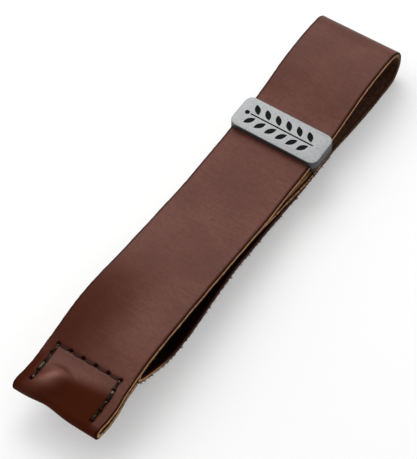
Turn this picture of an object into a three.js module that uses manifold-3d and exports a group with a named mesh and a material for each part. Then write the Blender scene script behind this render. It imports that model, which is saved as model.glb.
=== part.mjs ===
// A leather strap folded into a long flat bundle, with a stitched end pocket and a sliding metal keeper.
// Units are millimetres. +X runs along the strap from the pocket to the top loop, +Y across it, +Z up.
// The origin is under the middle of the bundle, on the surface that it lies on.
import * as THREE from 'three';
import { mergeVertices } from 'three/addons/utils/BufferGeometryUtils.js';
import Module from 'manifold-3d';

const wasm = await Module();
wasm.setup();

// Leather band
const BAND_WIDTH = 32;
const LEATHER = 2.4;                 // thickness of the leather
const HALF_LEATHER = LEATHER / 2;
const CLEARANCE = 0.3;               // gap kept between separate pieces

// Folds of the band, as circles that its middle layer follows
const END_FOLD = { x: -91.6, z: 11.35, radius: 1.5 };      // closes the pocket
const TOP_LOOP = { x: 86.5, z: 7.8, radius: 6.6 };         // the round loop at the far end
const UNDER_FOLD = { x: -66.4, z: 10.8, radius: 1.85 };    // turns the band back under itself

// Straight stretch of the top run, on which the keeper slides
const SLIDE_START = 7;
const SLIDE_END = 48.5;
const SLIDE_HEIGHT = 11.1;

// Pocket and its seam
const POCKET_SEAM_X = -73.7;
const SEAM_HALF_WIDTH = 12.1;
const ACROSS_STITCHES = 5;
const COLUMN_STITCHES = 4;
const COLUMN_PITCH = 4.1;
const THREAD_RADIUS = 0.4;            // where it goes through the leather
const STITCH_RADIUS = 0.33;           // where it is pulled flat along a face
const HOLE_RADIUS = THREAD_RADIUS + CLEARANCE;

// Hard stopper sewn into the pocket, and the bulge that it raises in the leather
const STOPPER = { x: -83.8, y: 2.5, radius: 2.75, length: 11 };
const BULGE = { length: 7.4, width: 9.6, height: 4.9 };

// Seam that joins the end of the bottom run to the middle run
const EYE_SEAM_NEAR_X = 35.6;
const EYE_SEAM_FAR_X = 43.2;

// Keeper: a closed slide around the top run
const KEEPER = { x: 39.2, length: 14, width: 34.8, corner: 3 };
const FACE_THICKNESS = 1.9;
const BACK_THICKNESS = 0.7;
const WINDOW_WIDTH = BAND_WIDTH + 2 * CLEARANCE;
const WINDOW_HEIGHT = LEATHER + 2 * CLEARANCE;

// ---------------------------------------------------------------- the band's middle layer, seen from the side

const at = (x, z) => new THREE.Vector3(x, 0, z);

function arc({ x, z, radius }, from, to, steps) {
  const points = [];
  for (let i = 0; i <= steps; i++) {
    const angle = THREE.MathUtils.degToRad(from + ((to - from) * i) / steps);
    points.push(at(x + radius * Math.cos(angle), z + radius * Math.sin(angle)));
  }
  return points;
}

const flapRun = [at(-70.4, 12.05), at(-76, 11.35), at(-84, 11), at(-88.3, 10.45)];
const topRun = [
  at(-88, 13.55), at(-84, 13.8), at(-76, 14.05), at(-70.4, 14.75), at(-64.5, 15.5), at(-59, 15.8),
  at(-53, 15.6), at(-48, 15.2), at(-36, 14.4), at(-24, 13.7), at(-9, 12.3), at(1, 11.45),
  at(SLIDE_START, SLIDE_HEIGHT), at(12, SLIDE_HEIGHT), at(28, SLIDE_HEIGHT), at(44, SLIDE_HEIGHT),
  at(SLIDE_END, SLIDE_HEIGHT), at(53, 11.75), at(59, 13.1), at(66, 14.4), at(74, 14.95), at(80, 14.9),
];
const middleRun = [
  at(78, 1.2), at(72, 1.6), at(64, 2.25), at(56, 3.3), at(49, 4.9), at(42, 5.6), at(34, 5.8), at(28, 6.1),
  at(21, 6.4), at(14, 6.9), at(8, 7.5), at(2, 8.3), at(-3, 8.95), at(-9, 9.5), at(-24, 10.95),
  at(-36, 11.65), at(-48, 12.45), at(-56, 12.85), at(-62, 12.85),
];
const bottomRun = [
  at(-64.6, 7.6), at(-60.6, 5.45), at(-56, 3.45), at(-51, 1.95), at(-47, 1.2), at(-42, 1.2), at(-37, 1.75),
  at(-31, 2.9), at(-25, 3.7), at(-18, 4.3), at(-10, 4.5), at(-2, 4.5), at(6, 4.35), at(14, 4.1),
  at(21, 3.65), at(28, 3.3), at(34, 3.05), at(42, 2.85), at(47, 2.4),
];

const SAMPLES = 240;
const middleLayer = new THREE.CatmullRomCurve3(
  [
    ...flapRun,
    ...arc(END_FOLD, 270, 90, 6),
    ...topRun,
    ...arc(TOP_LOOP, 90, -90, 12),
    ...middleRun,
    ...arc(UNDER_FOLD, 90, 235, 6),
    ...bottomRun,
  ],
  false,
  'centripetal',
);

// Points spread by bending: the curve's own parameter gives every waypoint the same number of samples.
const layer = middleLayer.getPoints(SAMPLES).map((p) => new THREE.Vector2(p.x, Math.max(p.z, HALF_LEATHER)));

function offsetPoint(index, distance) {
  const before = layer[Math.max(index - 1, 0)];
  const after = layer[Math.min(index + 1, layer.length - 1)];
  const along = after.clone().sub(before).normalize();
  const normal = new THREE.Vector2(along.y, -along.x);
  return layer[index].clone().addScaledVector(normal, distance);
}

// Height of one run's face at x. The run is the stretch of samples between two indices.
function heightAt(x, [first, last], distance) {
  for (let i = first; i < last; i++) {
    const a = offsetPoint(i, distance);
    const b = offsetPoint(i + 1, distance);
    if ((a.x - x) * (b.x - x) <= 0 && a.x !== b.x) {
      return a.y + ((b.y - a.y) * (x - a.x)) / (b.x - a.x);
    }
  }
  throw new Error(`no leather at x = ${x}`);
}

const indexOf = (test) => layer.findIndex(test);
const endNose = layer.reduce((best, p, i) => (p.x < layer[best].x ? i : best), 0);
const loopNose = layer.reduce((best, p, i) => (p.x > layer[best].x ? i : best), 0);
const underNose = layer.reduce((best, p, i) => (i > loopNose && p.x < layer[best].x ? i : best), loopNose);
const RUNS = {
  flap: [0, endNose],
  top: [endNose, loopNose],
  middle: [loopNose, underNose],
  bottom: [underNose, layer.length - 1],
};

// ---------------------------------------------------------------- solids

function solidOf(geometry) {
  geometry.deleteAttribute('normal');
  geometry.deleteAttribute('uv');
  const merged = mergeVertices(geometry, 1e-4);
  const mesh = new wasm.Mesh({
    numProp: 3,
    vertProperties: new Float32Array(merged.attributes.position.array),
    triVerts: new Uint32Array(merged.index.array),
  });
  return new wasm.Manifold(mesh);
}

function geometryOf(solid) {
  const { vertProperties, triVerts } = solid.getMesh();
  const geometry = new THREE.BufferGeometry();
  geometry.setAttribute('position', new THREE.BufferAttribute(new Float32Array(vertProperties), 3));
  geometry.setIndex(new THREE.BufferAttribute(new Uint32Array(triVerts), 1));
  geometry.computeVertexNormals();
  return geometry;
}

// A side view drawn in X and Z, extruded across the strap and centred on it.
function acrossStrap(outline, width) {
  const geometry = new THREE.ExtrudeGeometry(new THREE.Shape(outline), { depth: width, bevelEnabled: false });
  geometry.rotateX(Math.PI / 2);
  geometry.translate(0, width / 2, 0);
  return solidOf(geometry);
}

function rod(from, to, radius, sides = 8) {
  const along = to.clone().sub(from);
  const geometry = new THREE.CylinderGeometry(radius, radius, along.length(), sides);
  geometry.applyQuaternion(new THREE.Quaternion().setFromUnitVectors(new THREE.Vector3(0, 1, 0), along.normalize()));
  geometry.translate(...from.clone().add(to).multiplyScalar(0.5).toArray());
  return solidOf(geometry);
}

function box(length, width, height, x, y, z) {
  return solidOf(new THREE.BoxGeometry(length, width, height).translate(x, y, z));
}

const join = (solids) => solids.reduce((all, next) => all.add(next));

// ---------------------------------------------------------------- seams

// Each seam is a chain of holes. The thread goes through every hole and lies along both faces.
function seam(holes, upperRun, upperSide, lowerRun, lowerSide) {
  const proud = CLEARANCE + THREAD_RADIUS;
  const over = holes.map(([x, y]) => new THREE.Vector3(x, y, heightAt(x, upperRun, upperSide) + proud));
  const under = holes.map(([x, y]) => new THREE.Vector3(x, y, heightAt(x, lowerRun, lowerSide) - proud));
  const past = new THREE.Vector3(0, 0, THREAD_RADIUS);
  const posts = over.map((p, i) => rod(under[i].clone().sub(past), p.clone().add(past), THREAD_RADIUS));
  const stitches = [];
  for (let i = 0; i + 1 < holes.length; i++) {
    stitches.push(rod(over[i], over[i + 1], STITCH_RADIUS));
    stitches.push(rod(under[i], under[i + 1], STITCH_RADIUS));
  }
  const drill = over.map((p, i) =>
    rod(under[i].clone().sub(past), p.clone().add(past), HOLE_RADIUS, 10),
  );
  return { thread: join([...posts, ...stitches]), holes: join(drill) };
}

function pocketHoles() {
  const holes = [];
  for (let i = COLUMN_STITCHES; i > 0; i--) holes.push([POCKET_SEAM_X - i * COLUMN_PITCH, SEAM_HALF_WIDTH]);
  for (let i = 0; i <= ACROSS_STITCHES; i++) {
    holes.push([POCKET_SEAM_X, SEAM_HALF_WIDTH * (1 - (2 * i) / ACROSS_STITCHES)]);
  }
  for (let i = 1; i <= COLUMN_STITCHES; i++) holes.push([POCKET_SEAM_X - i * COLUMN_PITCH, -SEAM_HALF_WIDTH]);
  return holes;
}

function eyeHoles() {
  const holes = [];
  for (let i = 0; i <= ACROSS_STITCHES; i++) {
    holes.push([EYE_SEAM_FAR_X, SEAM_HALF_WIDTH * (1 - (2 * i) / ACROSS_STITCHES)]);
  }
  for (let i = ACROSS_STITCHES; i >= 0; i--) {
    holes.push([EYE_SEAM_NEAR_X, SEAM_HALF_WIDTH * (1 - (2 * i) / ACROSS_STITCHES)]);
  }
  return holes;
}

// offsetPoint's positive side is the flesh side: it faces down on the top run and up on the middle run.
const pocketSeam = seam(pocketHoles(), RUNS.top, -HALF_LEATHER, RUNS.flap, -HALF_LEATHER);
const eyeSeam = seam(eyeHoles(), RUNS.middle, HALF_LEATHER, RUNS.bottom, HALF_LEATHER);

// ---------------------------------------------------------------- strap

function bandOutline() {
  const grain = layer.map((_, i) => offsetPoint(i, -HALF_LEATHER));
  const flesh = layer.map((_, i) => offsetPoint(i, HALF_LEATHER));
  return [...grain, ...flesh.reverse()];
}

// The slit between the flap and the top run, a little thinner than the room between them.
function slitOutline() {
  const inset = 0.04;
  const below = [];
  const above = [];
  for (let x = STOPPER.x + 8.3; x > STOPPER.x - 8; x -= 1.47) {
    below.push(new THREE.Vector2(x, heightAt(x, RUNS.flap, HALF_LEATHER) + inset));
    above.push(new THREE.Vector2(x, heightAt(x, RUNS.top, HALF_LEATHER) - inset));
  }
  return [...below, ...above.reverse()];
}

const slitMiddle =
  (heightAt(STOPPER.x, RUNS.flap, HALF_LEATHER) + heightAt(STOPPER.x, RUNS.top, HALF_LEATHER)) / 2;

function stopperRod(radius, length) {
  return rod(
    new THREE.Vector3(STOPPER.x, STOPPER.y - length / 2, slitMiddle),
    new THREE.Vector3(STOPPER.x, STOPPER.y + length / 2, slitMiddle),
    radius,
    20,
  );
}

function strap() {
  const bulge = new THREE.SphereGeometry(1, 24, 14);
  bulge.scale(BULGE.length, BULGE.width, BULGE.height);
  bulge.translate(STOPPER.x, STOPPER.y, slitMiddle);
  const splitBulge = solidOf(bulge).subtract(acrossStrap(slitOutline(), BAND_WIDTH + 2));
  return acrossStrap(bandOutline(), BAND_WIDTH)
    .add(splitBulge)
    .subtract(stopperRod(STOPPER.radius + CLEARANCE, STOPPER.length + 2 * CLEARANCE))
    .subtract(pocketSeam.holes)
    .subtract(eyeSeam.holes);
}

// ---------------------------------------------------------------- keeper

function roundedRectangle(length, width, radius) {
  const shape = new THREE.Shape();
  const x = length / 2 - radius;
  const y = width / 2 - radius;
  shape.absarc(x, y, radius, 0, Math.PI / 2);
  shape.absarc(-x, y, radius, Math.PI / 2, Math.PI);
  shape.absarc(-x, -y, radius, Math.PI, 1.5 * Math.PI);
  shape.absarc(x, -y, radius, 1.5 * Math.PI, 2 * Math.PI);
  return shape;
}

function keeper() {
  const height = FACE_THICKNESS + WINDOW_HEIGHT + BACK_THICKNESS;
  const bottom = SLIDE_HEIGHT - WINDOW_HEIGHT / 2 - BACK_THICKNESS;
  const edge = 0.35;
  const block = new THREE.ExtrudeGeometry(
    roundedRectangle(KEEPER.length - 2 * edge, KEEPER.width - 2 * edge, KEEPER.corner - edge),
    { depth: height - 2 * edge, bevelThickness: edge, bevelSize: edge, bevelSegments: 2, curveSegments: 6 },
  );
  block.translate(KEEPER.x, 0, bottom + edge);
  return solidOf(block).subtract(
    box(KEEPER.length + 2, WINDOW_WIDTH, WINDOW_HEIGHT, KEEPER.x, 0, SLIDE_HEIGHT),
  );
}

// ---------------------------------------------------------------- the assembly

const leather = new THREE.MeshStandardMaterial({ color: 0x6a483f, roughness: 0.62, metalness: 0 });
const pewter = new THREE.MeshStandardMaterial({ color: 0xa9a8a6, roughness: 0.42, metalness: 0.9 });
const thread = new THREE.MeshStandardMaterial({ color: 0x1d1712, roughness: 0.7, metalness: 0 });
const beech = new THREE.MeshStandardMaterial({ color: 0xb98d5e, roughness: 0.7, metalness: 0 });

const group = new THREE.Group();
function place(name, solid, material) {
  const mesh = new THREE.Mesh(geometryOf(solid), material);
  mesh.name = name;
  group.add(mesh);
}

place('strap', strap(), leather);
place('keeper', keeper(), pewter);
place('pocket_stopper', stopperRod(STOPPER.radius, STOPPER.length), beech);
place('pocket_thread', pocketSeam.thread, thread);
place('eye_thread', eyeSeam.thread, thread);

export default group;
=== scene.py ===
"""A folded leather strap with a stitched end pocket and a cast keeper that slides along its top run.

Shapes are worked out in millimetres in the part's own frame, and scaled to metres when a mesh is made.
"""
import math
import bmesh
import bpy
import numpy as np
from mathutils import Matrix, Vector


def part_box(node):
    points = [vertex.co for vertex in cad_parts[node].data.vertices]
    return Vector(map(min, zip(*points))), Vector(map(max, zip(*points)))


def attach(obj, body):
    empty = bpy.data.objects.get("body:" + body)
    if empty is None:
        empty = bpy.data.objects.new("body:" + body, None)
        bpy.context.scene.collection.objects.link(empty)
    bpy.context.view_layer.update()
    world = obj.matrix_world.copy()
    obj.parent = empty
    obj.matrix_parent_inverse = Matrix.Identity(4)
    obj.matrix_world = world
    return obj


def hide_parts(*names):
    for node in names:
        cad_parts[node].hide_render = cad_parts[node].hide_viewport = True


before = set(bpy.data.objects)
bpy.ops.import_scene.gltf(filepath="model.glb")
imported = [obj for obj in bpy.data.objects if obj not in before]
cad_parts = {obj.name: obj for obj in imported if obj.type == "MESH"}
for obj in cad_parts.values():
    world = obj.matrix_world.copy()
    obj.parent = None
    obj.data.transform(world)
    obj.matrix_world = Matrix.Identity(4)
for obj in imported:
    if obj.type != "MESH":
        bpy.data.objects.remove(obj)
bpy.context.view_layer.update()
MM = 0.001

# ------------------------------------------------------------------ driving sizes, in millimetres

BAND_WIDTH = 32.0
HALF_WIDTH = BAND_WIDTH / 2
LEATHER = 2.4
HALF = LEATHER / 2
GRAIN_CORNER = 0.3           # rounding where the cut edge meets the grain
FLESH_CORNER = 0.2           # rounding where the cut edge meets the flesh
END_FOLD = (-91.6, 11.35, 1.5)
TOP_LOOP = (86.5, 7.8, 6.6)
UNDER_FOLD = (-66.4, 10.8, 1.85)
SLIDE_HEIGHT = 11.1
POCKET_SEAM_X = -73.7
POCKET_END_X = -60           # the top run's pocket shapes and seam stop short of this
SEAM_HALF_WIDTH = 12.1
ACROSS_STITCHES = 5
COLUMN_STITCHES = 4
LEFT_PITCH, RIGHT_PITCH = 3.85, 4.15
EYE_SEAM_X = (43.2, 35.6)
HOLE_RADIUS = 0.62
STOPPER_X, STOPPER_Y = -83.8, 2.5
SKIVED_DEPTH = 0.85          # how far the leather is thinned around the stopper


# ------------------------------------------------------------------ the band's middle layer

def arc(circle, start, end, steps):
    x, z, radius = circle
    angles = [math.radians(start + (end - start) * i / steps) for i in range(steps + 1)]
    return [(x + radius * math.cos(a), z + radius * math.sin(a)) for a in angles]


FLAP_RUN = [(-70.4, 12.05), (-76, 11.35), (-84, 11), (-88.3, 10.45)]
TOP_RUN = [
    (-88, 13.55), (-84, 13.8), (-76, 14.05), (-70.4, 14.75), (-64.5, 15.5), (-59, 15.8), (-53, 15.6),
    (-48, 15.2), (-36, 14.4), (-24, 13.7), (-9, 12.3), (1, 11.45), (7, SLIDE_HEIGHT), (12, SLIDE_HEIGHT),
    (28, SLIDE_HEIGHT), (44, SLIDE_HEIGHT), (48.5, SLIDE_HEIGHT), (53, 11.75), (59, 13.1), (66, 14.4),
    (74, 14.95), (80, 14.9),
]
MIDDLE_RUN = [
    (78, 1.2), (72, 1.6), (64, 2.25), (56, 3.3), (49, 4.9), (42, 5.6), (34, 5.8), (28, 6.1), (21, 6.4),
    (14, 6.9), (8, 7.5), (2, 8.3), (-3, 8.95), (-9, 9.5), (-24, 10.95), (-36, 11.65), (-48, 12.45),
    (-56, 12.85), (-62, 12.85),
]
BOTTOM_RUN = [
    (-64.6, 7.6), (-60.6, 5.45), (-56, 3.45), (-51, 1.95), (-47, 1.2), (-42, 1.2), (-37, 1.75), (-31, 2.9),
    (-25, 3.7), (-18, 4.3), (-10, 4.5), (-2, 4.5), (6, 4.35), (14, 4.1), (21, 3.65), (28, 3.3), (34, 3.05),
    (42, 2.85), (47, 2.4),
]


def spline(points, steps=48):
    """Centripetal Catmull-Rom curve through the points, the same as the part's own."""
    p = np.array(points, float)
    p = np.vstack([2 * p[0] - p[1], p, 2 * p[-1] - p[-2]])
    out = []
    for i in range(1, len(p) - 2):
        d = [max(np.linalg.norm(p[k + 1] - p[k]) ** 0.5, 1e-4) for k in (i - 1, i, i + 1)]
        start = (p[i] - p[i - 1]) / d[0] - (p[i + 1] - p[i - 1]) / (d[0] + d[1]) + (p[i + 1] - p[i]) / d[1]
        end = (p[i + 1] - p[i]) / d[1] - (p[i + 2] - p[i]) / (d[1] + d[2]) + (p[i + 2] - p[i + 1]) / d[2]
        start, end = start * d[1], end * d[1]
        t = np.linspace(0, 1, steps, endpoint=False)[:, None]
        a, b = p[i], p[i + 1]
        square, cube = 3 * (b - a) - 2 * start - end, 2 * (a - b) + start + end
        out.append(a + start * t + square * t**2 + cube * t**3)
    return np.vstack([*out, p[-2:-1]])


LAYER = spline(
    FLAP_RUN
    + arc(END_FOLD, 270, 90, 6)
    + TOP_RUN
    + arc(TOP_LOOP, 90, -90, 12)
    + MIDDLE_RUN
    + arc(UNDER_FOLD, 90, 235, 6)
    + BOTTOM_RUN
)
LAYER[:, 1] = np.maximum(LAYER[:, 1], HALF)
ALONG = np.concatenate([[0], np.cumsum(np.linalg.norm(np.diff(LAYER, axis=0), axis=1))])
BAND_LENGTH = float(ALONG[-1])
loop_i = int(LAYER[:, 0].argmax())
end_i = int(LAYER[:loop_i, 0].argmin())
under_i = loop_i + int(LAYER[loop_i:, 0].argmin())
S_END, S_LOOP, S_UNDER = ALONG[end_i], ALONG[loop_i], ALONG[under_i]
RUN_SPANS = {
    "flap": (0, end_i),
    "top": (end_i, loop_i),
    "middle": (loop_i, under_i),
    "bottom": (under_i, len(ALONG) - 1),
}


def centre(s):
    return np.interp(s, ALONG, LAYER[:, 0]), np.interp(s, ALONG, LAYER[:, 1])


def heading(s):
    """Unit tangent of the middle layer at s."""
    reach = 0.16
    x0, z0 = centre(np.clip(s - reach, 0, BAND_LENGTH))
    x1, z1 = centre(np.clip(s + reach, 0, BAND_LENGTH))
    length = np.hypot(x1 - x0, z1 - z0)
    return (x1 - x0) / length, (z1 - z0) / length


def s_at(x, run):
    """Distance along the band where a run crosses x."""
    first, last = RUN_SPANS[run]
    xs, ss = LAYER[first:last + 1, 0], ALONG[first:last + 1]
    return float(np.interp(x, xs, ss) if xs[-1] > xs[0] else np.interp(x, xs[::-1], ss[::-1]))


# ------------------------------------------------------------------ smooth random fields

def lattice(i, j, seed):
    return np.modf(np.abs(np.sin(i * 127.1 + j * 311.7 + seed * 74.7) * 43758.5453))[0]


def field(u, v, seed):
    """Smooth noise from -1 to 1 with a cell size of 1."""
    i, j = np.floor(u), np.floor(v)
    fu, fv = u - i, v - j
    fu, fv = fu * fu * (3 - 2 * fu), fv * fv * (3 - 2 * fv)
    low = lattice(i, j, seed) * (1 - fu) + lattice(i + 1, j, seed) * fu
    high = lattice(i, j + 1, seed) * (1 - fu) + lattice(i + 1, j + 1, seed) * fu
    return 2 * (low * (1 - fv) + high * fv) - 1


def hump(value, middle, low_side, high_side):
    """Bell curve with its own width on each side."""
    width = np.where(value < middle, low_side, high_side)
    return np.exp(-(((value - middle) / width) ** 2))


def ramp(value, start, end):
    t = np.clip((value - start) / (end - start), 0, 1)
    return t * t * (3 - 2 * t)


# ------------------------------------------------------------------ seams

def pocket_holes():
    """(x, y) of the pocket seam's holes: up the left column, across, and down the right column."""
    left = [(POCKET_SEAM_X - i * LEFT_PITCH, SEAM_HALF_WIDTH) for i in range(COLUMN_STITCHES, 0, -1)]
    across = [
        (POCKET_SEAM_X, SEAM_HALF_WIDTH * (1 - 2 * i / ACROSS_STITCHES)) for i in range(ACROSS_STITCHES + 1)
    ]
    right = [(POCKET_SEAM_X - i * RIGHT_PITCH, -SEAM_HALF_WIDTH) for i in range(1, COLUMN_STITCHES + 1)]
    return left + across + right


def eye_holes():
    across = [SEAM_HALF_WIDTH * (1 - 2 * i / ACROSS_STITCHES) for i in range(ACROSS_STITCHES + 1)]
    return [(EYE_SEAM_X[0], y) for y in across] + [(EYE_SEAM_X[1], y) for y in reversed(across)]


def seam_distance(x, y, holes):
    """Distance from each point to the seam line, and to its nearest hole."""
    line = np.full(np.shape(x), 1e3)
    for (ax, ay), (bx, by) in zip(holes, holes[1:]):
        dx, dy = bx - ax, by - ay
        t = np.clip(((x - ax) * dx + (y - ay) * dy) / (dx * dx + dy * dy), 0, 1)
        line = np.minimum(line, np.hypot(x - ax - t * dx, y - ay - t * dy))
    hole = np.full(np.shape(x), 1e3)
    for hx, hy in holes:
        hole = np.minimum(hole, np.hypot(x - hx, y - hy))
    return line, hole


POCKET_HOLES = pocket_holes()
EYE_HOLES = eye_holes()


# ------------------------------------------------------------------ how the leather leaves its flat run

def ridge_axes(x, y):
    """Distances along and beside the ridge from the stopper's upper corner to the left end of the seam."""
    return (x + 84.3) * -0.78 + (y - 6.4) * 0.62, (x + 84.3) * 0.62 + (y - 6.4) * 0.78


def crease_line(x, y, low_side, high_side):
    """1 along the curved crease above the stopper, falling off on each side."""
    return hump(x + 80.6 + 0.045 * (y - 5.0) ** 2, 0.0, low_side, high_side) * hump(y, 4.6, 4.2, 4.4)


def pocket_lift(x, y):
    """Height that the stopper raises over the pocket, in millimetres."""
    inside = ramp(SEAM_HALF_WIDTH - np.abs(y), 0.2, 3.4) * ramp(POCKET_SEAM_X - x, 0.2, 5.0)
    along, beside = ridge_axes(x, y)
    ridge = 1.05 * hump(along, 0.0, 3.5, 7.0) * hump(beside, -0.5, 3.0, 2.6)
    crest = 1.1 * hump(x, -84.6, 4.0, 2.6) * hump(y, 4.2, 5.4, 4.0)
    body = 1.15 * hump(x, -83.0, 5.0, 3.0) * hump(y, -1.5, 7.0, 7.0)
    crease = -0.65 * crease_line(x, y, 0.4, 0.85)
    return inside * (crest + body + crease) + ridge * ramp(POCKET_SEAM_X - x, 0.2, 4.0)


def pocket_belly(x, y):
    """Depth of the smooth bulge under the pocket's lower layer, in millimetres."""
    along = np.exp(-(((x - STOPPER_X) / 6.2) ** 4))
    across = np.exp(-(((y - STOPPER_Y) / 8.2) ** 4))
    return 2.1 * along * across


def seam_pinch(x, y, holes):
    line, hole = seam_distance(x, y, holes)
    groove = -0.2 * np.exp(-((line / 0.75) ** 2))
    pit = -0.95 * np.exp(-((hole / (0.72 * HOLE_RADIUS)) ** 4))
    return groove + pit


def end_twist(x, y):
    """The stitched end is raised and leans: its left corner stands higher than its right one."""
    end = ramp(-x, 70, 93)
    keeper_lean = -0.012 * y * ramp(x, -40, 15) * ramp(-x, -74, -50)
    return (0.05 * y + 0.35) * end + keeper_lean


def edge_curl(x, y):
    """The left edge curls up ahead of the pocket."""
    return 1.9 * ramp(y, -4, 17) * hump(x, -50, 17, 15)


def sideways(s):
    """How far the band wanders sideways along its length."""
    keys = [
        (0, -0.1), (S_END, -0.2), (s_at(-40, "top"), -0.1), (s_at(5, "top"), -0.3), (s_at(52, "top"), -0.3),
        (S_LOOP, -0.2), (S_LOOP + 8, -0.9), (s_at(74, "middle"), -0.8), (s_at(56, "middle"), -0.7),
        (s_at(45, "middle"), -1.1), (s_at(30, "middle"), -1.0), (s_at(20, "middle"), -0.3),
        (s_at(8, "middle"), 0.5), (s_at(-6, "middle"), 0.9), (s_at(-25, "middle"), 1.0),
        (s_at(-50, "middle"), 1.0), (S_UNDER, 0.5), (s_at(-55, "bottom"), 0.1), (s_at(-35, "bottom"), 0.1),
        (s_at(-12, "bottom"), 0.5), (s_at(20, "bottom"), -0.2), (BAND_LENGTH, -0.15),
    ]
    return np.interp(s, [k[0] for k in keys], [k[1] for k in keys])


def relief(s, x, y, on_grain):
    """How far the pocket and the seams push each face of the leather outwards, in millimetres."""
    by_pocket = s < s_at(POCKET_END_X, "top")
    by_eye = ((s > s_at(50, "middle")) & (s < s_at(30, "middle"))) | (s > s_at(30, "bottom"))
    on_flap = s <= S_END
    lift = np.where(by_pocket & ~on_flap, pocket_lift(x, y), 0) + np.where(on_flap, pocket_belly(x, y), 0)
    around_stopper = hump(x, STOPPER_X, 5.0, 4.5) * hump(y, STOPPER_Y, 8.0, 8.0)
    skived = SKIVED_DEPTH * around_stopper * (by_pocket & ~on_grain)
    pinch = seam_pinch(x, y, POCKET_HOLES) * (by_pocket & on_grain)
    pinch = pinch + seam_pinch(x, y, EYE_HOLES) * (by_eye & ~on_grain)
    return lift + skived + np.where(on_grain, 1, -1) * pinch


def unevenness(s, x, y, z):
    """The hide's slow waves, calm around the keeper and where the band lies on the floor."""
    wave = 0.12 * field(s / 23, y / 19, 3) + 0.05 * field(s / 9, y / 11, 5)
    return wave * ramp(np.abs(x - 30), 22, 36) * ramp(z, HALF, HALF + 0.8)


def sideways_at_pocket(x, y):
    """The pocket end is drawn in at its left, and its right side and its corners splay out."""
    to_left, to_right = np.maximum(y / HALF_WIDTH, 0), np.minimum(y / HALF_WIDTH, 0)
    drawn_in = 0.5 * to_left * ramp(-x, 74, 84) * (1 - 0.8 * ramp(-x, 86, 93))
    right = 0.8 * ramp(-x, 75, 84) * (1 - 0.85 * ramp(-x, 86.5, 92.5))
    left = 0.4 * ramp(-x, 86, 93)
    return right * to_right + left * to_left - drawn_in


def lengthwise(s, x, y):
    """The end fold is pulled in, most of all beside the stopper, and the top loop stands out."""
    pulled = 0.8 * ramp(-x, 84, 93.5)
    dent = 1.0 * hump(y, 4.0, 6.0, 5.0) * ramp(-x, 88, 93.5)
    nose = 0.8 * hump(s, S_LOOP + 3, 10, 11)
    return pulled + dent + nose


def place_leather(s, y, n):
    """Row-frame points for distance s along the band, y across it and n out from its middle layer."""
    x, z = centre(s)
    tx, tz = heading(s)
    before_loop = s < S_LOOP
    out = n + relief(s, x, y, n > 0) + unevenness(s, x, y, z)
    return np.stack([
        x - tz * out + lengthwise(s, x, y),
        y + sideways(s) + sideways_at_pocket(x, y) * before_loop,
        z + tx * out + end_twist(x, y) + edge_curl(x, y) * before_loop,
    ], axis=-1)


# ------------------------------------------------------------------ mesh helpers

def new_object(name, mesh):
    obj = bpy.data.objects.new(name, mesh)
    bpy.context.scene.collection.objects.link(obj)
    return obj


def evaluated_copy(obj):
    """The object's mesh with its modifiers applied."""
    bpy.context.view_layer.update()
    graph = bpy.context.evaluated_depsgraph_get()
    return bpy.data.meshes.new_from_object(obj.evaluated_get(graph))


def finish_mesh(mesh, sharp_degrees=None):
    mesh.polygons.foreach_set("use_smooth", [True] * len(mesh.polygons))
    if sharp_degrees:
        mesh.set_sharp_from_angle(angle=math.radians(sharp_degrees))
    mesh.update()


# ------------------------------------------------------------------ the leather band

def stations():
    """Distances along the band: close together in the folds and the pocket."""
    probe, widest, narrowest, turn_per_step = 0.6, 0.9, 0.2, 0.17
    out = [0.0]
    while out[-1] < BAND_LENGTH:
        s = out[-1]
        (x0, z0), (x1, z1) = (
            (float(x[0]), float(z[0]))
            for x, z in (heading(np.array([s])), heading(np.array([min(s + probe, BAND_LENGTH)])))
        )
        turn = abs(math.atan2(x0 * z1 - z0 * x1, x0 * x1 + z0 * z1))
        step = min(widest, probe * turn_per_step / max(turn, 1e-4))
        out.append(s + max(step, narrowest))
    out = np.array(out)
    return out * BAND_LENGTH / out[-1]


def ring():
    """One cross-section as (y, n, zone): zone 0 is grain, 1 is cut edge, 2 is flesh."""
    columns = 41
    inner = HALF_WIDTH - GRAIN_CORNER
    grain = [(y, HALF) for y in np.linspace(-inner, inner, columns)]
    side = []
    for a in (30, 60, 90):
        r = math.radians(a)
        side.append((inner + GRAIN_CORNER * math.sin(r), HALF - GRAIN_CORNER * (1 - math.cos(r))))
    low = -HALF + FLESH_CORNER
    for k in (1, 2, 3, 4):
        side.append((HALF_WIDTH, HALF - GRAIN_CORNER + (low - HALF + GRAIN_CORNER) * k / 4))
    side.append((HALF_WIDTH - FLESH_CORNER, -HALF))
    flesh_inner = HALF_WIDTH - 0.7
    flesh = [(y, -HALF) for y in np.linspace(flesh_inner, -flesh_inner, columns)]
    other = [(-y, n) for y, n in reversed(side)]
    return grain, side, flesh, other


def handling_and_shade(x, y):
    """How dark the leather is painted: along the left edge partly darker handled leather and partly painted
    shade, and painted shade over the front of the pocket, beside the seam's left corner and in the fold and
    crease.
    """
    along, beside = ridge_axes(x, y)
    ridge = hump(along, 0.5, 4.0, 6.5) * hump(beside, -0.2, 3.0, 2.6)
    outside_seam = 1 - ramp(-x, 73, 75) * (np.abs(y) < SEAM_HALF_WIDTH)
    edge = 0.78 * ramp(-x, 24, 54) * ramp(y, -10, 13) * outside_seam
    corner = ramp(y, 12.2, 14) * ramp(-x, 70, 82)
    strip = 1 - 0.75 * ramp(-y, 12.2, 13.6) * (1 - ramp(-x, 90.5, 93))
    front = ramp(-x - 0.2 * y, 78.5, 84.5) * (1 - 0.9 * ridge) * strip
    fold = 0.3 * ramp(x, 84.5, 90.5)
    crease = 0.75 * crease_line(x, y, 0.3, 0.5)
    return np.maximum.reduce([edge, corner, front, fold, crease])


def rubbing_and_highlight(x, y):
    """How far the pocket's raised ridge is lightened and made shiny: partly rubbed wear, partly a painted
    highlight.
    """
    along, beside = ridge_axes(x, y)
    return hump(along, 0.6, 3.0, 5.4) * hump(beside, -0.4, 2.3, 1.9)


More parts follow.
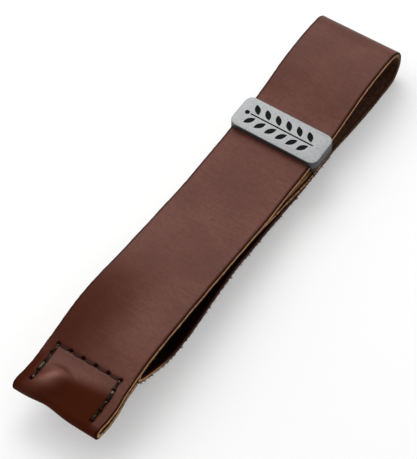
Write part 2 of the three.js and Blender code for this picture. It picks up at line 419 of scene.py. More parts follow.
UV_LENGTH = 100.0            # millimetres of leather to one unit of the texture map
FLESH_UV_SHIFT = 100.0       # gives the flesh side its own patch of texture
GRAIN_ZONE, EDGE_ZONE, FLESH_ZONE = 0, 1, 2


def flat_band():
    """The unfolded band: vertices as (s, y, n), and faces with their zones."""
    grain, side, flesh, other = ring()
    section = grain + side + flesh + other
    nc, ns, m = len(grain), len(side), len(section)
    rows = stations()
    y = np.array([p[0] for p in section])
    n = np.array([p[1] for p in section])
    points = [np.stack([np.repeat(rows, m), np.tile(y, len(rows)), np.tile(n, len(rows))], 1)]
    faces, zones = [], []

    def zone_of(k):
        if k < nc + 1 or k >= m - 2:
            return GRAIN_ZONE
        return FLESH_ZONE if nc + ns <= k < 2 * nc + ns - 1 else EDGE_ZONE

    for i in range(len(rows) - 1):
        for k in range(m):
            a, b = i * m + k, i * m + (k + 1) % m
            faces.append((a, a + m, b + m, b))
            zones.append(zone_of(k))

    # Each end is closed by a grid of faces between its grain and flesh sides.
    count = len(rows) * m
    for first, s_end in ((0, rows[0]), ((len(rows) - 1) * m, rows[-1])):
        step = -1 if first else 1
        grid = [[first + j for j in range(nc)]]
        inner = []
        for k in range(ns):
            left, right = first + m - 1 - k, first + nc + k
            line = [left]
            for j in range(1, nc - 1):
                line.append(count)
                inner.append((s_end, y[nc + k] * (2 * j / (nc - 1) - 1), n[nc + k]))
                count += 1
            grid.append(line + [right])
        grid.append([first + nc + ns + nc - 1 - j for j in range(nc)])
        points.append(np.array(inner))
        for upper, lower in zip(grid, grid[1:]):
            for j in range(nc - 1):
                faces.append((upper[j], upper[j + 1], lower[j + 1], lower[j])[::step])
                zones.append(EDGE_ZONE)
    return np.vstack(points), faces, zones


def refine_pocket(bm):
    """Makes the pocket's grain side finer, for its bulge, groove and holes."""
    fine_to = s_at(POCKET_SEAM_X + 2.5, "top")
    fine_from = s_at(END_FOLD[0] - 0.5, "top")
    near = [
        e for e in bm.edges
        if all(fine_from < v.co.x < fine_to and v.co.z > HALF - 0.02 for v in e.verts)
    ]
    bmesh.ops.subdivide_edges(bm, edges=near, cuts=2, use_grid_fill=True)
    bmesh.ops.triangulate(bm, faces=[f for f in bm.faces if len(f.verts) > 4])


def map_hide(bm):
    """Lays the texture map out as the flat hide, with the cut edges opened outwards."""
    uv_layer = bm.loops.layers.uv.new("hide")
    for f in bm.faces:
        for loop in f.loops:
            s, v, out = loop.vert.co
            if f.material_index == EDGE_ZONE:
                v += math.copysign(HALF - out, v)
            elif f.material_index == FLESH_ZONE:
                v += FLESH_UV_SHIFT
            loop[uv_layer].uv = (s / UV_LENGTH, v / UV_LENGTH)


def ragged_edge(s, across, depth):
    """The knife leaves the cut edge slightly uneven, and loose fibres fray its flesh side."""
    side = np.sign(across)
    edge = ramp(np.abs(across), HALF_WIDTH - 0.5, HALF_WIDTH)
    rough = 0.05 * field(s / 1.3, depth * 3 + side * 9, 11) + 0.06 * field(s / 6, side * 5, 12)
    fray = 0.16 * np.maximum(field(s / 0.7, side * 7, 13), -0.2) * ramp(depth, 0.75, 1)
    return side * edge * (rough + fray)


def tones(s, across, out, depth):
    """Values from 0 to 1 that the materials read, by attribute name."""
    x, _ = centre(s)
    line, hole = seam_distance(x, across, POCKET_HOLES)
    seam = 0.75 * np.exp(-((line / 0.55) ** 2)) + 1.2 * np.exp(-((hole / 0.8) ** 4))
    seam = seam * ((s < s_at(POCKET_END_X, "top")) & (out > 0))
    rim = ramp(np.abs(across), HALF_WIDTH - 0.5, HALF_WIDTH - 0.2)
    # Painted shade on the cut edges of the runs that lie low inside the two loops.
    lower_loop_shade = ramp(s, S_UNDER + 9, S_UNDER + 22)
    top_loop_shade = ramp(s, s_at(82, "top"), S_LOOP) * ramp(s, s_at(30, "middle"), s_at(52, "middle"))
    return {
        "depth": depth,
        "stain": np.clip(np.maximum(seam, rim), 0, 1),
        # Painted shade: the grain inside the lower loop, from the middle run round into the bottom run.
        "belly_shade": ramp(s, s_at(16, "middle"), s_at(4, "middle")),
        "lower": np.maximum(lower_loop_shade, 0.9 * top_loop_shade),
        # Painted light: a lit patch on the flesh at the middle run's right edge below the keeper, where the
        # top run shades it.
        "pale": hump(s, s_at(24, "middle"), 14, 20) * ramp(-across, 11, 14) * (s > S_LOOP),
        # Painted shade, with some darker handled leather along the left edge.
        "handled_and_shaded": handling_and_shade(x, across) * (1 - ramp(s, S_LOOP + 6, S_LOOP + 16)),
        # Painted highlight on the pocket's ridge, partly rubbed wear.
        "rubbed_and_highlit": rubbing_and_highlight(x, across) * (s < s_at(-20, "top")) * (s > S_END),
    }


def build_band():
    """The folded band: made flat in a mesh, refined and mapped there, and then put in its place."""
    points, faces, zones = flat_band()
    bm = bmesh.new()
    for point in points:
        bm.verts.new(point)
    bm.verts.ensure_lookup_table()
    for face, zone in zip(faces, zones):
        bm.faces.new([bm.verts[k] for k in face]).material_index = zone
    refine_pocket(bm)
    map_hide(bm)
    mesh = bpy.data.meshes.new("leather_band")
    bm.to_mesh(mesh)
    bm.free()

    flat = np.zeros(len(mesh.vertices) * 3, np.float32)
    mesh.vertices.foreach_get("co", flat)
    s, across, out = flat.reshape(-1, 3).astype(float).T
    depth = np.clip((HALF - out) / LEATHER, 0, 1)
    placed = place_leather(s, across + ragged_edge(s, across, depth), out) * MM
    mesh.vertices.foreach_set("co", placed.astype(np.float32).ravel())
    for name, values in tones(s, across, out, depth).items():
        layer = mesh.attributes.new(name, "FLOAT", "POINT")
        layer.data.foreach_set("value", values.astype(np.float32))
    finish_mesh(mesh)
    return new_object("leather_band", mesh)


# ------------------------------------------------------------------ loose fibres

def spike(bm, root, tip, radius):
    """Adds a thin pointed tuft, rooted in the leather, to bm."""
    root, tip = Vector(root), Vector(tip)
    along = (tip - root).normalized()
    side = along.orthogonal().normalized()
    up = along.cross(side)
    foot = [
        bm.verts.new((root + (side * math.cos(a) + up * math.sin(a)) * radius) * MM)
        for a in (0, 2 * math.pi / 3, 4 * math.pi / 3)
    ]
    top = bm.verts.new(tip * MM)
    bm.faces.new(reversed(foot))
    for k in range(3):
        bm.faces.new((foot[k], foot[(k + 1) % 3], top))


def build_fibres():
    """Fibres that stand out of the flesh side's cut corners."""
    rng = np.random.default_rng(7)
    travel_start, travel_end = s_at(6, "top"), s_at(50, "top")
    edge = HALF_WIDTH - 0.1
    bm = bmesh.new()
    stretches = [
        (s_at(84, "middle"), BAND_LENGTH, 2.1),
        (0, s_at(-66, "top"), 0.8),
        (s_at(-66, "top"), s_at(84, "top"), 0.6),
    ]
    for start, end, density in stretches:
        for side in (-1, 1):
            for s in rng.uniform(start, end, int((end - start) * density)):
                size = rng.uniform(0.35, 1.0) ** 2
                n = -HALF + rng.uniform(0.05, 0.9) * LEATHER * 0.5
                if travel_start < s < travel_end or (side > 0 and S_LOOP < s < S_UNDER):
                    continue
                sway = rng.uniform(-0.6, 0.6)
                here, there, deep = np.array([s]), np.array([s + sway]), np.array([n])
                root = place_leather(here, np.array([side * edge]), deep)[0]
                out = np.array([side * (edge + 0.2 + 0.75 * size)])
                tip = place_leather(there, out, deep - rng.uniform(-0.2, 0.35))[0]
                tip[2] = max(tip[2], 0.05)
                spike(bm, root, tip, 0.09 + 0.13 * size)
    mesh = bpy.data.meshes.new("edge_fibres")
    bm.to_mesh(mesh)
    bm.free()
    return new_object("edge_fibres", mesh)


# ------------------------------------------------------------------ thread

def grain_point(x, y, run, sink=0.0):
    """A point on a run's outer face, sunk by that much."""
    s = s_at(x, run)
    n = HALF - sink
    return place_leather(np.array([s]), np.array([y]), np.array([n]))[0]


def tube(bm, path, radii, sides=6):
    """Adds a closed tube along a list of points to bm."""
    path = [Vector(p) for p in path]
    rings = []
    side = None
    for i, p in enumerate(path):
        along = (path[min(i + 1, len(path) - 1)] - path[max(i - 1, 0)]).normalized()
        if side is None:
            side = along.orthogonal().normalized()
        side = (side - along * side.dot(along)).normalized()
        up = along.cross(side)
        r = radii[i] if hasattr(radii, "__len__") else radii
        rings.append([
            bm.verts.new((p + (side * math.cos(a) + up * math.sin(a)) * r) * MM)
            for a in (2 * math.pi * k / sides for k in range(sides))
        ])
    for low, high in zip(rings, rings[1:]):
        for k in range(sides):
            bm.faces.new((low[k], low[(k + 1) % sides], high[(k + 1) % sides], high[k]))
    bm.faces.new(reversed(rings[0]))
    bm.faces.new(rings[-1])


def twisted(bm, path, strand, spread, pitch=1.6, plies=3, start=0.0):
    """Adds a twisted thread: its plies wind round the path."""
    path = [Vector(p) for p in path]
    walked = [0.0]
    for a, b in zip(path, path[1:]):
        walked.append(walked[-1] + (b - a).length)
    for ply in range(plies):
        line, side = [], None
        for i, p in enumerate(path):
            along = (path[min(i + 1, len(path) - 1)] - path[max(i - 1, 0)]).normalized()
            if side is None:
                side = along.orthogonal().normalized()
            side = (side - along * side.dot(along)).normalized()
            up = along.cross(side)
            a = start + 2 * math.pi * (walked[i] / pitch + ply / plies)
            line.append(p + (side * math.cos(a) + up * math.sin(a)) * spread)
        tube(bm, line, strand)


def stitch_path(a, b, run, rise, bow, steps=14):
    """Out of hole a, along the leather's face and into hole b, bowed sideways by bow at its middle."""
    path = []
    for i in range(steps + 1):
        t = i / steps
        arch = math.sin(math.pi * t) ** 0.6
        x = a[0] + (b[0] - a[0]) * t + bow[0] * arch
        y = a[1] + (b[1] - a[1]) * t + bow[1] * arch
        over = grain_point(x, y, run)
        sink = 0.0 if 0 < i < steps else -0.25
        path.append((over[0], over[1], over[2] + rise * arch + sink))
    return path


def build_pocket_thread():
    """Fine stitches across the pocket's mouth and bolder ones down its two sides, some worked twice."""
    bm = bmesh.new()
    for i, (a, b) in enumerate(zip(POCKET_HOLES, POCKET_HOLES[1:])):
        if a[0] == b[0]:
            twisted(bm, stitch_path(a, b, "top", 0.1, (-0.6, 0)), 0.1, 0.1, start=0.7 * i)
            continue
        first_face = len(bm.faces)
        inward = -math.copysign(1, a[1])
        twisted(bm, stitch_path(a, b, "top", 0.18, (0, 0.24 * inward)), 0.17, 0.15, start=0.7 * i)
        if i % 3 == 1:
            twisted(bm, stitch_path(a, b, "top", 0.34, (0, -0.26 * inward)), 0.15, 0.13, start=1.9 * i)
        bm.faces.ensure_lookup_table()
        # The side stitches get the thread with painted glints.
        for f in bm.faces[first_face:]:
            f.material_index = 1
    mesh = bpy.data.meshes.new("pocket_stitches")
    bmesh.ops.recalc_face_normals(bm, faces=bm.faces)
    bm.to_mesh(mesh)
    bm.free()
    finish_mesh(mesh)
    return new_object("pocket_stitches", mesh)


def build_eye_thread():
    """Stitches that hold the end of the bottom run up against the middle run, with posts through both."""
    bm = bmesh.new()

    def face(hole, run, proud):
        s = np.array([s_at(hole[0], run)])
        return place_leather(s, np.array([hole[1]]), np.array([-HALF - proud]))[0]

    for i, (a, b) in enumerate(zip(EYE_HOLES, EYE_HOLES[1:])):
        for run in ("middle", "bottom"):
            path = []
            for step in range(13):
                t = step / 12
                hole = (a[0] + (b[0] - a[0]) * t, a[1] + (b[1] - a[1]) * t)
                path.append(face(hole, run, 0.5 * math.sin(math.pi * t) ** 0.5 - 0.3))
            twisted(bm, path, 0.13, 0.12, start=0.6 * i)
    for hole in EYE_HOLES:
        top, bottom = face(hole, "middle", -0.3), face(hole, "bottom", -0.3)
        post = [top + (bottom - top) * t for t in np.linspace(0, 1, 7)]
        twisted(bm, post, 0.16, 0.15)
    mesh = bpy.data.meshes.new("eye_stitches")
    bmesh.ops.recalc_face_normals(bm, faces=bm.faces)
    bm.to_mesh(mesh)
    bm.free()
    finish_mesh(mesh)
    return new_object("eye_stitches", mesh)


# ------------------------------------------------------------------ node helpers

class Nodes:
    """Short calls for building one material's node tree."""

    def __init__(self, name):
        self.material = bpy.data.materials.new(name)
        self.material.use_nodes = True
        self.tree = self.material.node_tree
        self.tree.nodes.clear()
        self.shader = self.add("ShaderNodeBsdfPrincipled")
        output = self.add("ShaderNodeOutputMaterial")
        self.link(self.shader.outputs["BSDF"], output.inputs["Surface"])

    def add(self, kind, **settings):
        node = self.tree.nodes.new(kind)
        for key, value in settings.items():
            setattr(node, key, value)
        return node

    def link(self, a, b):
        self.tree.links.new(a, b)

    def put(self, socket, value):
        if hasattr(value, "is_output"):
            self.link(value, socket)
        else:
            socket.default_value = value

    def uv(self, name, scale=(1, 1, 1)):
        source = self.add("ShaderNodeUVMap", uv_map=name)
        mapping = self.add("ShaderNodeMapping")
        mapping.inputs["Scale"].default_value = scale
        self.link(source.outputs["UV"], mapping.inputs["Vector"])
        return mapping.outputs["Vector"]

    def place(self, scale=(1, 1, 1)):
        source = self.add("ShaderNodeTexCoord")
        mapping = self.add("ShaderNodeMapping")
        mapping.inputs["Scale"].default_value = scale
        self.link(source.outputs["Object"], mapping.inputs["Vector"])
        return mapping.outputs["Vector"]

    def attribute(self, name):
        return self.add("ShaderNodeAttribute", attribute_name=name).outputs["Fac"]

    def noise(self, vector, scale, detail=4, roughness=0.55, distortion=0.0):
        node = self.add("ShaderNodeTexNoise")
        self.link(vector, node.inputs["Vector"])
        node.inputs["Scale"].default_value = scale
        node.inputs["Detail"].default_value = detail
        node.inputs["Roughness"].default_value = roughness
        node.inputs["Distortion"].default_value = distortion
        return node.outputs["Fac"]

    def voronoi(self, vector, scale):
        node = self.add("ShaderNodeTexVoronoi", feature="DISTANCE_TO_EDGE")
        self.link(vector, node.inputs["Vector"])
        node.inputs["Scale"].default_value = scale
        return node.outputs["Distance"]

    def math(self, operation, a, b=0.0, c=0.0):
        node = self.add("ShaderNodeMath", operation=operation)
        for socket, value in zip(node.inputs, (a, b, c)):
            self.put(socket, value)
        return node.outputs["Value"]

    def remap(self, value, low, high, to_low=0.0, to_high=1.0, smooth=True):
        node = self.add("ShaderNodeMapRange", interpolation_type="SMOOTHSTEP" if smooth else "LINEAR")
        self.put(node.inputs["Value"], value)
        node.inputs["From Min"].default_value = low
        node.inputs["From Max"].default_value = high
        node.inputs["To Min"].default_value = to_low
        node.inputs["To Max"].default_value = to_high
        return node.outputs["Result"]

    def mix(self, factor, a, b):
        node = self.add("ShaderNodeMix", data_type="RGBA")
        colours = [s for s in node.inputs if s.type == "RGBA"]
        self.put(node.inputs[0], factor)
        self.put(colours[0], (*a, 1) if isinstance(a, tuple) else a)
        self.put(colours[1], (*b, 1) if isinstance(b, tuple) else b)
        return [s for s in node.outputs if s.type == "RGBA"][0]

    def bump(self, height, distance, strength=1.0, under=None):
        node = self.add("ShaderNodeBump")
        node.inputs["Strength"].default_value = strength
        node.inputs["Distance"].default_value = distance
        self.link(height, node.inputs["Height"])
        if under is not None:
            self.link(under, node.inputs["Normal"])
        return node.outputs["Normal"]

    def shade(self, colour=None, roughness=None, normal=None, **constants):
        for socket, value in (("Base Color", colour), ("Roughness", roughness), ("Normal", normal)):
            if value is not None:
                self.put(self.shader.inputs[socket], (*value, 1) if isinstance(value, tuple) else value)
        for socket, value in constants.items():
            self.shader.inputs[socket.replace("_", " ")].default_value = value
        return self.material


def srgb(r, g, b):
    """Linear colour from an 8-bit display colour."""
    shares = (r / 255, g / 255, b / 255)
    return tuple(c / 12.92 if c <= 0.04045 else ((c + 0.055) / 1.055) ** 2.4 for c in shares)


# ------------------------------------------------------------------ materials

def grain_leather():
    k = Nodes("leather_grain")
    uv = k.uv("hide")
    cloud = k.noise(uv, 5, detail=3)
    mottle = k.noise(uv, 70, detail=4, roughness=0.6)
    fine = k.noise(k.uv("hide", (1, 1.6, 1)), 900, detail=3)
    streak = k.noise(k.uv("hide", (260, 30, 1)), 1, detail=3)
    pores = k.voronoi(uv, 330)
    base = k.mix(k.remap(cloud, 0.35, 0.65), srgb(91, 50, 39), srgb(102, 58, 47))
    base = k.mix(k.remap(mottle, 0.4, 0.68, 0, 0.26), base, srgb(70, 34, 24))
    base = k.mix(k.remap(fine, 0.42, 0.75, 0, 0.45), base, srgb(60, 27, 18))
    base = k.mix(k.remap(streak, 0.5, 0.75, 0, 0.22), base, srgb(62, 29, 20))
    ripple = k.noise(k.uv("hide", (85, 14, 1)), 1, detail=4, roughness=0.6)
    base = k.mix(k.remap(ripple, 0.42, 0.72, 0, 0.36), base, srgb(68, 34, 25))
    handled_and_shaded, stain, belly_shade = k.attribute("handled_and_shaded"), k.attribute("stain"), k.attribute("belly_shade")
    # Painted shade over the pocket's front, fold and crease, and partly darker handled leather along the left
    # edge.
    base = k.mix(handled_and_shaded, base, srgb(64, 25, 12))
    # Painted shade: the grain inside the lower loop is made near black.
    base = k.mix(k.math("MULTIPLY", belly_shade, 0.95), base, srgb(7, 5, 5))
    base = k.mix(stain, base, srgb(38, 12, 6))
    height = k.math("ADD", k.math("MULTIPLY", k.remap(pores, 0, 0.1), 0.5), k.math("MULTIPLY", fine, 0.6))
    rubbed_and_highlit = k.attribute("rubbed_and_highlit")
    # Painted highlight on the pocket's ridge, partly rubbed wear.
    base = k.mix(k.math("MULTIPLY", rubbed_and_highlit, 0.42), base, srgb(138, 92, 78))
    normal = k.bump(height, 0.00006, 0.55)
    normal = k.bump(mottle, 0.0002, 0.2, under=normal)
    roughness = k.math("SUBTRACT", k.remap(fine, 0.3, 0.7, 0.4, 0.5), k.math("MULTIPLY", rubbed_and_highlit, 0.14))
    # The painted-shade masks and the stains also take away the sheen.
    dull = k.math("MAXIMUM", k.math("MAXIMUM", handled_and_shaded, stain), belly_shade)
    k.link(k.remap(dull, 0, 1, 0.15, 0.01, smooth=False), k.shader.inputs["Specular IOR Level"])
    return k.shade(base, roughness, normal)


def cut_edge():
    k = Nodes("leather_cut_edge")
    uv = k.uv("hide")
    fibre = k.noise(k.uv("hide", (300, 2200, 1)), 1, detail=4, roughness=0.65)
    patch = k.noise(uv, 110, detail=4)
    ragged = k.noise(k.uv("hide", (420, 60, 1)), 1, detail=4, roughness=0.7)
    depth = k.attribute("depth")
    wobble = k.math("ADD", depth, k.math("MULTIPLY", k.math("SUBTRACT", patch, 0.5), 0.25))
    tan = k.mix(k.remap(fibre, 0.3, 0.72), srgb(148, 98, 58), srgb(222, 176, 130))
    tan = k.mix(k.remap(patch, 0.4, 0.72, 0, 0.5), tan, srgb(132, 76, 38))
    edge_in_shade = k.mix(k.remap(fibre, 0.35, 0.7), srgb(14, 8, 5), srgb(60, 38, 24))
    # Painted shade: the cut edges inside the loops are darkened.
    tan = k.mix(k.math("MULTIPLY", k.attribute("lower"), 0.92), tan, edge_in_shade)
    base = k.mix(k.remap(wobble, 0.36, 0.26), tan, srgb(52, 14, 5))
    # Painted shade on the flesh side of the cut edge, with a ragged border.
    fringe_shade = k.math("ADD", depth, k.math("MULTIPLY", k.math("SUBTRACT", ragged, 0.5), 0.55))
    base = k.mix(k.remap(fringe_shade, 0.72, 0.86), base, srgb(66, 38, 20))
    normal = k.bump(fibre, 0.00025, 0.6)
    return k.shade(base, 0.85, normal, Specular_IOR_Level=0.1)


def flesh_leather():
    k = Nodes("leather_flesh")
    uv = k.uv("hide")
    nap = k.noise(uv, 300, detail=6, roughness=0.75)
    tuft = k.noise(uv, 70, detail=5, roughness=0.7)
    base = k.mix(k.remap(tuft, 0.35, 0.65), srgb(62, 32, 14), srgb(96, 56, 30))
    base = k.mix(k.remap(nap, 0.4, 0.7, 0, 0.6), base, srgb(30, 14, 5))
    # Painted light: the pale patch lightens the flesh where it lies in shade.
    lit_patch = k.math("MULTIPLY", k.attribute("pale"), k.remap(tuft, 0.3, 0.6, 0.35, 1))
    base = k.mix(lit_patch, base, srgb(236, 178, 122))
    normal = k.bump(nap, 0.0004, 0.8)
    normal = k.bump(tuft, 0.0008, 0.4, under=normal)
    return k.shade(base, 0.95, normal, Specular_IOR_Level=0.12, Sheen_Weight=0.12, Sheen_Roughness=0.5)


def frayed_fibre():
    k = Nodes("leather_fibre")
    tint = k.noise(k.place(), 600, detail=2)
    base = k.mix(k.remap(tint, 0.4, 0.6), srgb(30, 17, 10), srgb(88, 60, 40))
    return k.shade(base, 0.95, k.bump(tint, 0.0001, 0.3), Specular_IOR_Level=0.1)


def waxed_thread(name, patch_colour):
    """Dark thread with patches of the second colour given: tonal variation on the dark thread, and painted
    glints on the light one.
    """
    k = Nodes(name)
    place = k.place()
    patch_noise = k.noise(place, 700, detail=4)
    base = k.mix(k.remap(patch_noise, 0.46, 0.66), srgb(10, 6, 4), patch_colour)
    normal = k.bump(k.noise(place, 5200, detail=2), 0.0001, 0.5)
    return k.shade(base, k.remap(patch_noise, 0.3, 0.7, 0.5, 0.36), normal, Specular_IOR_Level=0.12)


def pewter():
    """Bright on the face and along the rims, with painted shade darkening the walls."""
    k = Nodes("pewter")
    place = k.place()
    cast = k.noise(place, 2400, detail=4, roughness=0.6)
    pits = k.noise(place, 700, detail=5, roughness=0.7)
    cloud = k.noise(place, 110, detail=4)
    bright = k.mix(k.remap(cloud, 0.35, 0.65), srgb(128, 129, 130), srgb(146, 147, 147))
    bright = k.mix(k.remap(cast, 0.45, 0.72, 0, 0.6), bright, srgb(92, 92, 94))
    bright = k.mix(k.remap(pits, 0.62, 0.8, 0, 0.5), bright, srgb(62, 62, 64))
    split = k.add("ShaderNodeSeparateXYZ")
    k.link(k.add("ShaderNodeTexCoord").outputs["Normal"], split.inputs["Vector"])
    # Upward-facing surfaces keep the bright metal; the walls take painted shade.
    facing = k.math("ADD", split.outputs["Z"], k.math("MULTIPLY", k.math("SUBTRACT", pits, 0.5), 0.3))
    face = k.remap(facing, 0.12, 0.5)
    # The foot of the walls is painted the brown of the leather's shaded cut edge, which makes them look as
    # low as they do on the real keeper.
    height = k.add("ShaderNodeSeparateXYZ")
    k.link(place, height.inputs["Vector"])
    low = k.remap(height.outputs["Z"], (SLIDE_HEIGHT + 0.6) * MM, (SLIDE_HEIGHT - 0.3) * MM)
    wall_shade = k.mix(low, srgb(84, 86, 88), srgb(48, 27, 17))
    base = k.mix(face, wall_shade, bright)
    normal = k.bump(cast, 0.0001, 0.35)
    normal = k.bump(pits, 0.00015, 0.15, under=normal)
    return k.shade(base, k.remap(cloud, 0.3, 0.7, 0.5, 0.6), normal, Metallic=0.85)


def enamel():
    k = Nodes("black_enamel")
    place = k.place()
    cloud = k.noise(place, 900, detail=3)
    base = k.mix(k.remap(cloud, 0.3, 0.7), srgb(6, 6, 7), srgb(17, 16, 17))
    rough = k.remap(cloud, 0.3, 0.7, 0.6, 0.75)
    return k.shade(base, rough, k.bump(cloud, 0.0001, 0.3), Specular_IOR_Level=0.06)


def beech():
    k = Nodes("beech")
    place = k.place((260, 30, 260))
    rings = k.noise(place, 6, detail=5, distortion=0.6)
    base = k.mix(k.remap(rings, 0.35, 0.65), srgb(176, 130, 84), srgb(205, 164, 118))
    return k.shade(base, 0.6, k.bump(rings, 0.0002, 0.3))


# ------------------------------------------------------------------ keeper

KEEPER_LOW, KEEPER_HIGH = (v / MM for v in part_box("keeper"))
KEEPER_X = (KEEPER_LOW.x + KEEPER_HIGH.x) / 2
KEEPER_LENGTH = KEEPER_HIGH.x - KEEPER_LOW.x
KEEPER_WIDTH = KEEPER_HIGH.y - KEEPER_LOW.y
KEEPER_CORNER = 3.0
WINDOW_WIDTH = 32.6
WINDOW_HEIGHT = 3.0
ENGRAVING = 0.35
ASIDE = -0.35                # the keeper sits slightly to the right, as the strap does there
RIGHT_OVERHANG = 0.35        # and its right end stands out a little further


def plan_outline(inset, per_corner=9):
    """Rounded rectangle of the keeper seen from above, shrunk by inset."""
    a, b = KEEPER_LENGTH / 2 - KEEPER_CORNER, KEEPER_WIDTH / 2 - KEEPER_CORNER
    r = KEEPER_CORNER - inset
    points = []
    for cx, cy, start in ((a, b, 0), (-a, b, 90), (-a, -b, 180), (a, -b, 270)):
        for i in range(per_corner):
            t = math.radians(start + 90 * i / (per_corner - 1))
            further = RIGHT_OVERHANG if cy < 0 else 0
            points.append((KEEPER_X + cx + r * math.cos(t), cy + r * math.sin(t) + ASIDE - further))
    return points


def build_keeper_body():
    """The cast block with soft edges, before its window and engraving are cut."""
    top, bottom = KEEPER_HIGH.z, KEEPER_LOW.z
    soft, under = 0.3, 0.75
    levels = []
    for i in range(6):
        t = math.radians(90 * i / 5)
        levels.append((soft * (1 - math.sin(t)), top - soft * (1 - math.cos(t))))
    for i in range(5):
        t = math.radians(90 * i / 4)
        levels.append((under * (1 - math.cos(t)), bottom + under * (1 - math.sin(t))))
    bm = bmesh.new()
    rings = [[bm.verts.new(Vector((x, y, z)) * MM) for x, y in plan_outline(inset)] for inset, z in levels]
    count = len(rings[0])
    for upper, lower in zip(rings, rings[1:]):
        for k in range(count):
            bm.faces.new((upper[k], lower[k], lower[(k + 1) % count], upper[(k + 1) % count]))
    bm.faces.new(rings[0])
    bm.faces.new(reversed(rings[-1]))
    bmesh.ops.recalc_face_normals(bm, faces=bm.faces)
    mesh = bpy.data.meshes.new("keeper_body")
    bm.to_mesh(mesh)
    bm.free()
    return new_object("keeper_body", mesh)


def almond(cx, cy, length, width, angle, steps=8):
    """Outline of a leaf with pointed ends."""
    points = []
    for side in (1, -1):
        for i in range(steps):
            t = i / steps if side == 1 else 1 - i / steps
            u, v = length * (t - 0.5), side * width / 2 * math.sin(math.pi * t) ** 0.8
            if i == 0:
                v = 0.0
            c, s = math.cos(angle), math.sin(angle)
            points.append((cx + u * c - v * s, cy + u * s + v * c))
    return points


def disc(cx, cy, radius, steps=14):
    angles = [2 * math.pi * i / steps for i in range(steps)]
    return [(cx + radius * math.cos(a), cy + radius * math.sin(a)) for a in angles]


def ornament():
    """A leafy branch along the keeper's face: outlines as (across, along) from its centre."""
    pairs, pitch, lean = 6, 4.3, math.radians(38)
    reach = pitch * pairs / 2
    shapes = [[(-0.3, -reach), (0.3, -reach), (0.3, reach - 0.4), (-0.3, reach - 0.4)]]
    for i in range(pairs):
        y = (i - (pairs - 1) / 2) * pitch + 0.6
        shapes.append(almond(2.75, y, 4.7, 2.1, lean))
        shapes.append(almond(-2.75, y, 4.7, 2.1, math.pi - lean))
    shapes.append(disc(0, reach + 1.0, 0.9))
    return shapes


def prism(name, shapes, low, high):
    """Upright solids with those outlines, as one mesh."""
    bm = bmesh.new()
    for shape in shapes:
        area = sum(a[0] * b[1] - b[0] * a[1] for a, b in zip(shape, shape[1:] + shape[:1]))
        outline = shape if area > 0 else list(reversed(shape))
        ends = [
            [bm.verts.new(Vector((KEEPER_X + x, y + ASIDE, z)) * MM) for x, y in outline]
            for z in (low, high)
        ]
        count = len(outline)
        bm.faces.new(reversed(ends[0]))
        bm.faces.new(ends[1])
        for k in range(count):
            bm.faces.new((ends[0][k], ends[0][(k + 1) % count], ends[1][(k + 1) % count], ends[1][k]))
    mesh = bpy.data.meshes.new(name)
    bm.to_mesh(mesh)
    bm.free()
    return new_object(name, mesh)


def cut(body, cutter):
    """Takes cutter out of body, and removes cutter."""
    modifier = body.modifiers.new("cut", "BOOLEAN")
    modifier.operation = "DIFFERENCE"
    modifier.solver = "EXACT"
    modifier.object = cutter
    mesh = evaluated_copy(body)
    body.modifiers.clear()
    body.data = mesh
    bpy.data.objects.remove(cutter)


def build_keeper():
    body = build_keeper_body()
    half_x, half_y = KEEPER_LENGTH / 2 + 1, WINDOW_WIDTH / 2
    window = prism(
        "window",
        [[(-half_x, -half_y), (half_x, -half_y), (half_x, half_y), (-half_x, half_y)]],
        SLIDE_HEIGHT - WINDOW_HEIGHT / 2,
        SLIDE_HEIGHT + WINDOW_HEIGHT / 2,
    )
    cut(body, window)
    face = KEEPER_HIGH.z
    cut(body, prism("engraving", ornament(), face - ENGRAVING, face + 1))
    finish_mesh(body.data, 35)
    body.name = "keeper_casting"
    inlay = prism("keeper_inlay", ornament(), face - ENGRAVING - 0.05, face - 0.12)
    finish_mesh(inlay.data, 35)
    return body, inlay


def build_stopper():
    """A pin with eased ends, a little smaller and higher than its CAD solid so that it clears the leather."""
    low, high = (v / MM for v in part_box("pocket_stopper"))
    x, z, r = (low.x + high.x) / 2, (low.z + high.z) / 2 + 0.3, (high.z - low.z) / 2
    shares = (0.06, 0.08, 0.12, 0.3, 0.5, 0.7, 0.88, 0.92, 0.94)
    radii = (0.55, 0.68, 0.76, 0.8, 0.8, 0.8, 0.76, 0.68, 0.55)
    bm = bmesh.new()
    path = [(x, low.y + (high.y - low.y) * t, z) for t in shares]
    tube(bm, path, [r * share for share in radii], sides=28)
    mesh = bpy.data.meshes.new("stopper")
    bm.to_mesh(mesh)
    bm.free()
    finish_mesh(mesh, 40)
    return new_object("stopper", mesh)


# ------------------------------------------------------------------ assembly

def dress(obj, materials, body, node=None):
    for material in materials:
        obj.data.materials.append(material)
    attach(obj, body)
    if node:
        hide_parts(node)


band = build_band()
dress(band, [grain_leather(), cut_edge(), flesh_leather()], "band", "strap")

fibres = build_fibres()
dress(fibres, [frayed_fibre()], "band")

thread_look = [
    waxed_thread("waxed_thread", srgb(34, 22, 14)),
    # Its light olive patches are painted glints.
    waxed_thread("glint_painted_thread", srgb(108, 104, 80)),
]
pocket_thread = build_pocket_thread()
dress(pocket_thread, thread_look, "band", "pocket_thread")

keeper, inlay = build_keeper()
dress(keeper, [pewter()], "keeper", "keeper")
dress(inlay, [enamel()], "keeper")

stopper = build_stopper()
dress(stopper, [beech()], "band", "pocket_stopper")
eye_thread = build_eye_thread()
dress(eye_thread, thread_look[:1], "band", "eye_thread")

# ------------------------------------------------------------------ floor, light and camera

def build_stage():
    bm = bmesh.new()
    bmesh.ops.create_grid(bm, x_segments=2, y_segments=2, size=3.0)
    mesh = bpy.data.meshes.new("floor")
    bm.to_mesh(mesh)
    bm.free()
    floor = new_object("floor", mesh)
    floor.location.z = -0.0001
    k = Nodes("pale_floor")
    glow = {"Emission_Color": (1, 1, 1, 1), "Emission_Strength": 0.32}
    floor.data.materials.append(k.shade((0.6, 0.6, 0.6), 0.9, **glow))


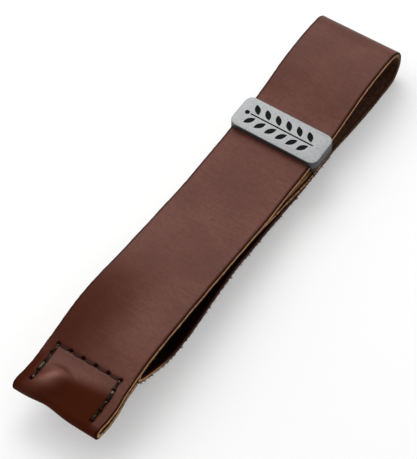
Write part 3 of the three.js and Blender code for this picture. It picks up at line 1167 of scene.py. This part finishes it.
def area_light(name, place, target, size, watts):
    light = bpy.data.lights.new(name, "AREA")
    light.shape = "SQUARE"
    light.size = size
    light.energy = watts
    obj = bpy.data.objects.new(name, light)
    obj.location = place
    obj.rotation_euler = (Vector(target) - Vector(place)).to_track_quat("-Z", "Y").to_euler()
    bpy.context.scene.collection.objects.link(obj)


def build_world():
    """Soft surround, brighter behind the object than in front of it."""
    world = bpy.data.worlds.new("studio")
    world.use_nodes = True
    tree = world.node_tree
    background = tree.nodes["Background"]
    place = tree.nodes.new("ShaderNodeTexCoord")
    dot = tree.nodes.new("ShaderNodeVectorMath")
    dot.operation = "DOT_PRODUCT"
    dot.inputs[1].default_value = (0.72, 0.65, 0.25)
    rise = tree.nodes.new("ShaderNodeMapRange")
    rise.interpolation_type = "SMOOTHSTEP"
    for name, value in (("From Min", -0.3), ("From Max", 0.85), ("To Min", 0.36), ("To Max", 0.95)):
        rise.inputs[name].default_value = value
    tree.links.new(place.outputs["Generated"], dot.inputs[0])
    tree.links.new(dot.outputs["Value"], rise.inputs["Value"])
    tree.links.new(rise.outputs["Result"], background.inputs["Strength"])
    background.inputs["Color"].default_value = (1, 1, 1, 1)
    bpy.context.scene.world = world


def build_lights():
    area_light("key", (0.62, 0.5, 0.8), (0, 0, 0), 0.8, 8.2)
    area_light("fill", (-0.35, 0.95, 0.6), (0, 0, 0), 0.9, 4.5)


def build_camera():
    azimuth, elevation = math.radians(-56.34), math.radians(55.164)
    aim = Vector((-1.37, 2.79, 0)) * MM
    distance = 0.66527
    back = Vector((
        math.sin(azimuth) * math.cos(elevation),
        -math.cos(azimuth) * math.cos(elevation),
        math.sin(elevation),
    ))
    data = bpy.data.cameras.new("camera")
    data.sensor_fit = "HORIZONTAL"
    data.sensor_width = 36
    data.lens = 167.8
    data.clip_start = 0.01
    camera = bpy.data.objects.new("camera", data)
    camera.location = aim + back * distance
    camera.rotation_euler = (-back).to_track_quat("-Z", "Y").to_euler()
    bpy.context.scene.collection.objects.link(camera)
    bpy.context.scene.camera = camera


build_stage()
build_world()
build_lights()
build_camera()
bpy.context.scene.view_settings.view_transform = "Standard"
